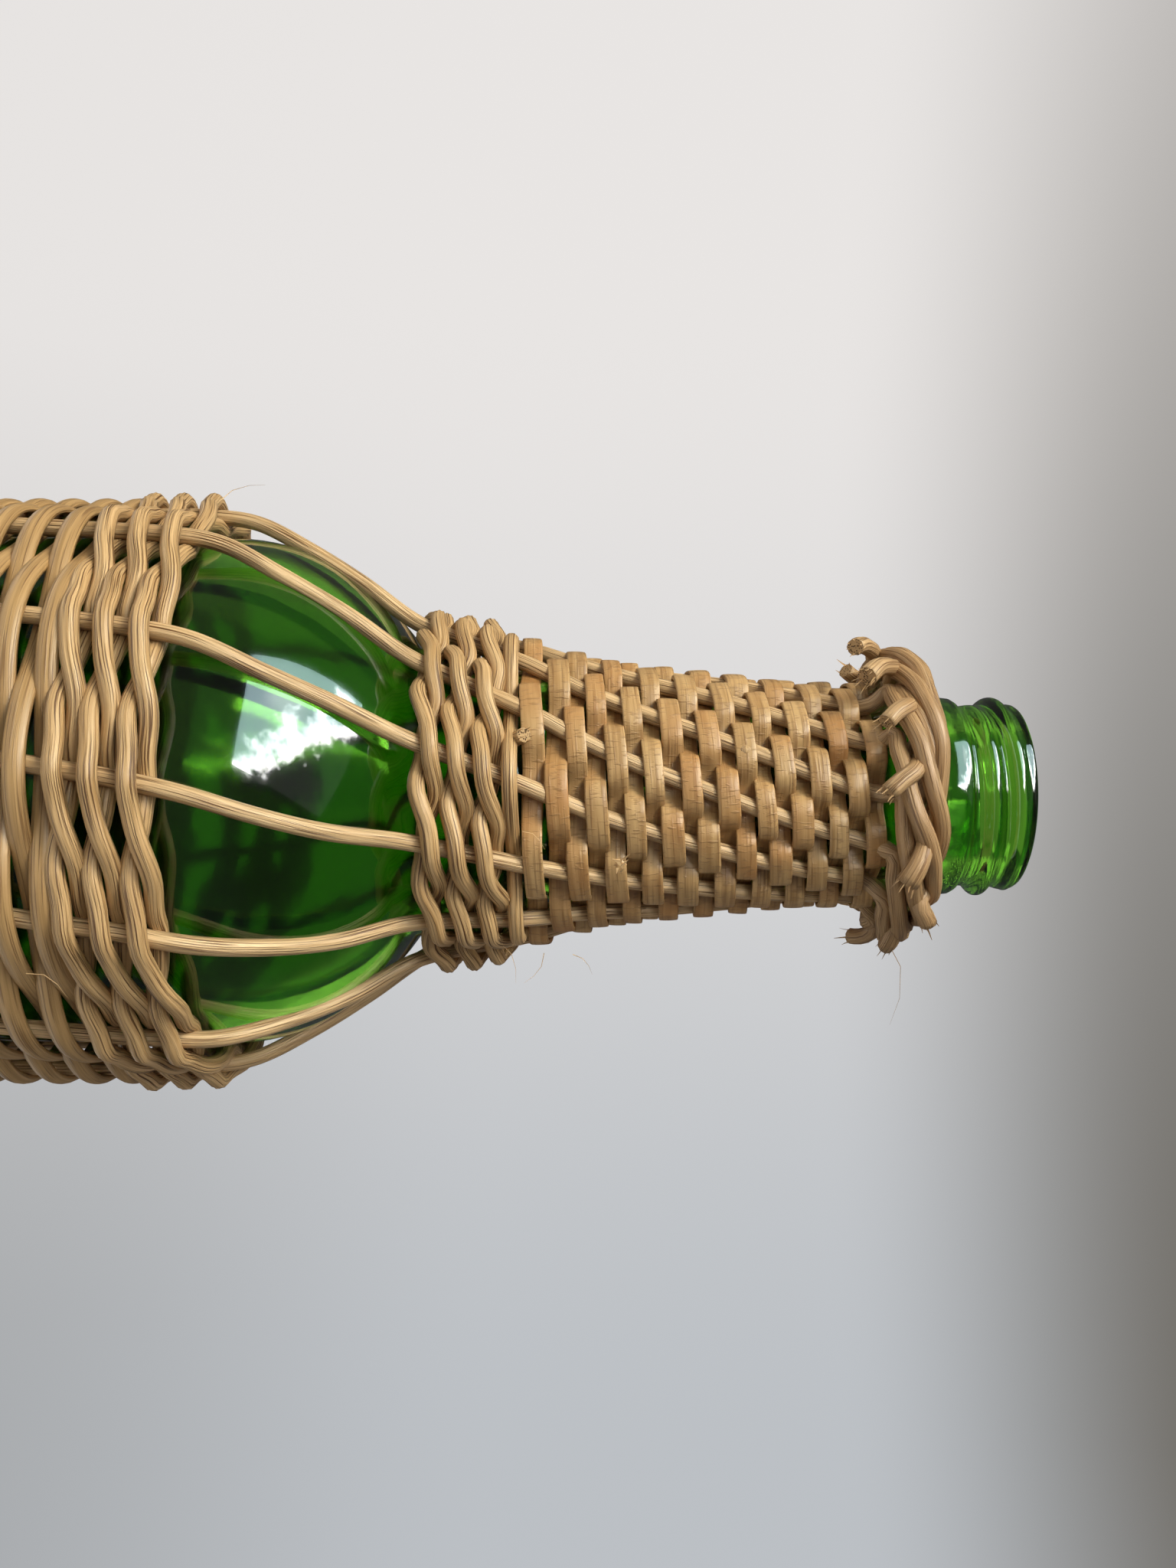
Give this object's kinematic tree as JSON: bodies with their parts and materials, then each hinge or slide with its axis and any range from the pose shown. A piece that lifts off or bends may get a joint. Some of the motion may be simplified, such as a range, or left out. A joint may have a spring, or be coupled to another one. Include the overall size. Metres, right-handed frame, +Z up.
{
  "type": "wicker-covered wine bottle",
  "caption": "Slender glass wine bottle with a screw finish in a full-length woven wicker jacket: twisted round stakes, plain-woven reed and cane, paired rows and a coiled border.",
  "frame": {"origin": "centre of the foot of the wicker, on the surface that the bottle stands on", "axes": "+Z up along the bottle's axis, out of the mouth; -Y is the side that the picture shows"},
  "size_m": [0.087, 0.0868, 0.3],
  "materials": {
    "green_glass": "clear, smooth, slightly rippled",
    "round_reed": "natural peeled round reed, satin, with fine lengthwise fibres",
    "body_reed": "natural half-round reed, satin",
    "neck_cane": "split cane, glossy outer skin with fine cross cracks"
  },
  "bodies": {
    "root": {"glass_bottle": "green_glass", "stake_01": "round_reed", "stake_02": "round_reed", "stake_03": "round_reed", "stake_04": "round_reed", "stake_05": "round_reed", "stake_06": "round_reed", "stake_07": "round_reed", "stake_08": "round_reed", "stake_09": "round_reed", "stake_10": "round_reed", "stake_11": "round_reed", "stake_12": "round_reed", "stake_13": "round_reed", "foot_wale_1": "round_reed", "foot_wale_2": "round_reed", "foot_wale_3": "round_reed", "shoulder_wale_1": "round_reed", "shoulder_wale_2": "round_reed", "shoulder_wale_3": "round_reed", "neck_wale_1": "round_reed", "neck_wale_2": "round_reed", "neck_wale_3": "round_reed", "closing_rod": "round_reed", "base_spokes": "round_reed", "base_weaver": "round_reed", "body_weaver_01": "body_reed", "body_weaver_02": "body_reed", "body_weaver_03": "body_reed", "body_weaver_04": "body_reed", "body_weaver_05": "body_reed", "body_weaver_06": "body_reed", "body_weaver_07": "body_reed", "body_weaver_08": "body_reed", "body_weaver_09": "body_reed", "body_weaver_10": "body_reed", "body_weaver_11": "body_reed", "neck_cane_01": "neck_cane", "neck_cane_02": "neck_cane", "neck_cane_03": "neck_cane", "neck_cane_04": "neck_cane", "neck_cane_05": "neck_cane", "neck_cane_06": "neck_cane", "neck_cane_07": "neck_cane", "neck_cane_08": "neck_cane", "neck_cane_09": "neck_cane"}
  },
  "joints": []
}
